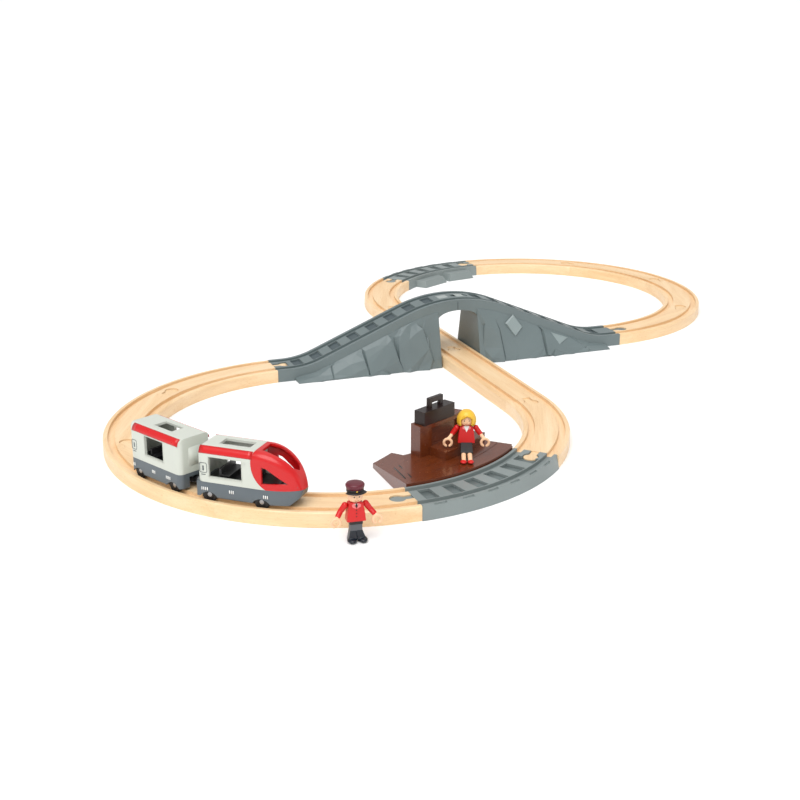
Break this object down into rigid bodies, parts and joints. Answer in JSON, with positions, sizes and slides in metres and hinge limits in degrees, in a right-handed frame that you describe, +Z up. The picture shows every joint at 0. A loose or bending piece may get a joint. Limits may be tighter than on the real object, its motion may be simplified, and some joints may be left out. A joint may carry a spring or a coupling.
{
  "type": "toy train set",
  "caption": "Push-along toy railway: figure-eight of grooved wooden track with a plastic bridge and station, a two-car train and two jointed figures.",
  "frame": {"origin": "on the floor under the crossing of the two lines", "axes": "+X along the bridge, +Y along the line under it towards the back loop, +Z up"},
  "size_m": [0.768, 0.7937, 0.067],
  "materials": {
    "beech": "fine straight grain, clear matt lacquer",
    "grey_plastic": "fine moulded texture",
    "brown_plastic": "smooth moulded gloss",
    "dark_brown_plastic": "fine moulded texture",
    "pale_grey_plastic": "smooth moulded gloss",
    "red_plastic": "smooth moulded gloss",
    "slate_plastic": "fine moulded texture",
    "black_plastic": "fine moulded texture",
    "steel": "plain nickel-plated steel",
    "maroon_plastic": "smooth moulded gloss",
    "skin_plastic": "fine moulded texture",
    "yellow_plastic": "smooth moulded gloss"
  },
  "bodies": {
    "layout": {"front_curve_1": "beech", "front_curve_2": "beech", "front_curve_3": "beech", "front_curve_4": "beech", "front_curve_5": "beech", "station_curve": "grey_plastic", "back_curve_1": "beech", "back_curve_2": "beech", "back_curve_3": "beech", "back_curve_4": "beech", "back_curve_5": "beech", "rock_curve": "grey_plastic", "straight_front": "beech", "straight_back": "beech", "bridge_left": "grey_plastic", "bridge_right": "grey_plastic"},
    "station": {"station_platform": "brown_plastic", "station_bench": "brown_plastic"},
    "suitcase": {"suitcase": "dark_brown_plastic"},
    "engine": {"engine_shell": "pale_grey_plastic", "engine_hood": "red_plastic", "engine_skirt": "slate_plastic", "engine_seats": "black_plastic", "engine_window_pins": "pale_grey_plastic"},
    "wagon": {"wagon_shell": "pale_grey_plastic", "wagon_skirt": "slate_plastic", "wagon_seats": "black_plastic"},
    "engine_front_wheels": {"engine_front_axle": "steel", "engine_front_wheel_left": "black_plastic", "engine_front_wheel_right": "black_plastic"},
    "engine_rear_wheels": {"engine_rear_axle": "steel", "engine_rear_wheel_left": "black_plastic", "engine_rear_wheel_right": "black_plastic"},
    "wagon_front_wheels": {"wagon_front_axle": "steel", "wagon_front_wheel_left": "black_plastic", "wagon_front_wheel_right": "black_plastic"},
    "wagon_rear_wheels": {"wagon_rear_axle": "steel", "wagon_rear_wheel_left": "black_plastic", "wagon_rear_wheel_right": "black_plastic"},
    "engine_coupler": {"engine_coupler": "black_plastic", "engine_coupler_magnet": "steel"},
    "wagon_front_coupler": {"wagon_front_coupler": "black_plastic", "wagon_front_coupler_magnet": "steel"},
    "wagon_rear_coupler": {"wagon_rear_coupler": "black_plastic", "wagon_rear_coupler_magnet": "steel"},
    "conductor_torso": {"conductor_torso": "red_plastic"},
    "conductor_head": {"conductor_head": "skin_plastic", "conductor_cap": "maroon_plastic"},
    "conductor_legs": {"conductor_legs": "grey_plastic"},
    "conductor_arm_left": {"conductor_arm_left": "red_plastic"},
    "conductor_arm_right": {"conductor_arm_right": "red_plastic"},
    "passenger_torso": {"passenger_torso": "red_plastic"},
    "passenger_head": {"passenger_head": "skin_plastic", "passenger_hair": "yellow_plastic"},
    "passenger_legs": {"passenger_legs": "black_plastic"},
    "passenger_arm_left": {"passenger_arm_left": "red_plastic"},
    "passenger_arm_right": {"passenger_arm_right": "red_plastic"}
  },
  "joints": [
    {"name": "engine_run", "type": "hinge", "parent": "layout", "child": "engine", "pos_m": [-0.182, -0.182, 0.012], "axis": [0, 0, 1], "range_deg": [-105, 120]},
    {"name": "wagon_run", "type": "hinge", "parent": "layout", "child": "wagon", "pos_m": [-0.182, -0.182, 0.012], "axis": [0, 0, 1], "range_deg": [-106, 121]},
    {"name": "engine_front_wheels_spin", "type": "hinge", "parent": "engine", "child": "engine_front_wheels", "pos_m": [-0.28408, -0.33268, 0.0153], "axis": [0.6547, 0.7559, 0], "range_deg": [-3700, 3700]},
    {"name": "engine_rear_wheels_spin", "type": "hinge", "parent": "engine", "child": "engine_rear_wheels", "pos_m": [-0.31658, -0.30453, 0.0153], "axis": [0.6547, 0.7559, 0], "range_deg": [-3700, 3700]},
    {"name": "wagon_front_wheels_spin", "type": "hinge", "parent": "wagon", "child": "wagon_front_wheels", "pos_m": [-0.33449, -0.28135, 0.0153], "axis": [0.8965, 0.4431, 0], "range_deg": [-3700, 3700]},
    {"name": "wagon_rear_wheels_spin", "type": "hinge", "parent": "wagon", "child": "wagon_rear_wheels", "pos_m": [-0.35354, -0.2428, 0.0153], "axis": [0.8965, 0.4431, 0], "range_deg": [-3700, 3700]},
    {"name": "engine_coupler_swivel", "type": "hinge", "parent": "engine", "child": "engine_coupler", "pos_m": [-0.32043, -0.30119, 0.0188], "axis": [0, 0, 1], "range_deg": [-5, 5]},
    {"name": "wagon_front_coupler_swivel", "type": "hinge", "parent": "wagon", "child": "wagon_front_coupler", "pos_m": [-0.33223, -0.28592, 0.0188], "axis": [0, 0, 1], "range_deg": [-5, 5]},
    {"name": "wagon_rear_coupler_swivel", "type": "hinge", "parent": "wagon", "child": "wagon_rear_coupler", "pos_m": [-0.3558, -0.23823, 0.0188], "axis": [0, 0, 1], "range_deg": [-25, 25]},
    {"name": "station_lift", "type": "slide", "parent": "layout", "child": "station", "axis": [0, 0, 1], "range_m": [0, 0.04]},
    {"name": "suitcase_lift", "type": "slide", "parent": "station", "child": "suitcase", "axis": [0, 0, 1], "range_m": [0, 0.03]},
    {"name": "conductor_lift", "type": "slide", "parent": "layout", "child": "conductor_torso", "axis": [0, 0, 1], "range_m": [0, 0.03]},
    {"name": "conductor_head_swivel", "type": "hinge", "parent": "conductor_torso", "child": "conductor_head", "pos_m": [-0.2395, -0.4, 0.0316], "axis": [0, 0, 1], "range_deg": [-90, 90]},
    {"name": "conductor_arm_left_swing", "type": "hinge", "parent": "conductor_torso", "child": "conductor_arm_left", "pos_m": [-0.23194, -0.40073, 0.0286], "axis": [-0.9954, 0.0958, 0], "range_deg": [-30, 120]},
    {"name": "conductor_arm_right_swing", "type": "hinge", "parent": "conductor_torso", "child": "conductor_arm_right", "pos_m": [-0.24707, -0.39927, 0.0286], "axis": [-0.9954, 0.0958, 0], "range_deg": [-30, 120]},
    {"name": "conductor_hips_bend", "type": "hinge", "parent": "conductor_torso", "child": "conductor_legs", "pos_m": [-0.2395, -0.4, 0.0165], "axis": [-0.9954, 0.0958, 0], "range_deg": [0, 75]},
    {"name": "passenger_lift", "type": "slide", "parent": "station", "child": "passenger_torso", "axis": [0, 0, 1], "range_m": [0, 0.03]},
    {"name": "passenger_head_swivel", "type": "hinge", "parent": "passenger_torso", "child": "passenger_head", "pos_m": [-0.112, -0.3025, 0.0404], "axis": [0, 0, 1], "range_deg": [-90, 90]},
    {"name": "passenger_arm_left_swing", "type": "hinge", "parent": "passenger_torso", "child": "passenger_arm_left", "pos_m": [-0.10488, -0.30516, 0.0374], "axis": [-0.9367, 0.3502, 0], "range_deg": [-30, 100]},
    {"name": "passenger_arm_right_swing", "type": "hinge", "parent": "passenger_torso", "child": "passenger_arm_right", "pos_m": [-0.11912, -0.29984, 0.0374], "axis": [-0.9367, 0.3502, 0], "range_deg": [-30, 100]},
    {"name": "passenger_hips_bend", "type": "hinge", "parent": "passenger_torso", "child": "passenger_legs", "pos_m": [-0.112, -0.3025, 0.0253], "axis": [-0.9367, 0.3502, 0], "range_deg": [0, 20]}
  ],
  "couplings": [
    {"joint": "wagon_run", "follows": "engine_run", "ratio": 1},
    {"joint": "engine_front_wheels_spin", "follows": "engine_run", "ratio": 30.333},
    {"joint": "engine_rear_wheels_spin", "follows": "engine_run", "ratio": 30.333},
    {"joint": "wagon_front_wheels_spin", "follows": "engine_run", "ratio": 30.333},
    {"joint": "wagon_rear_wheels_spin", "follows": "engine_run", "ratio": 30.333}
  ]
}
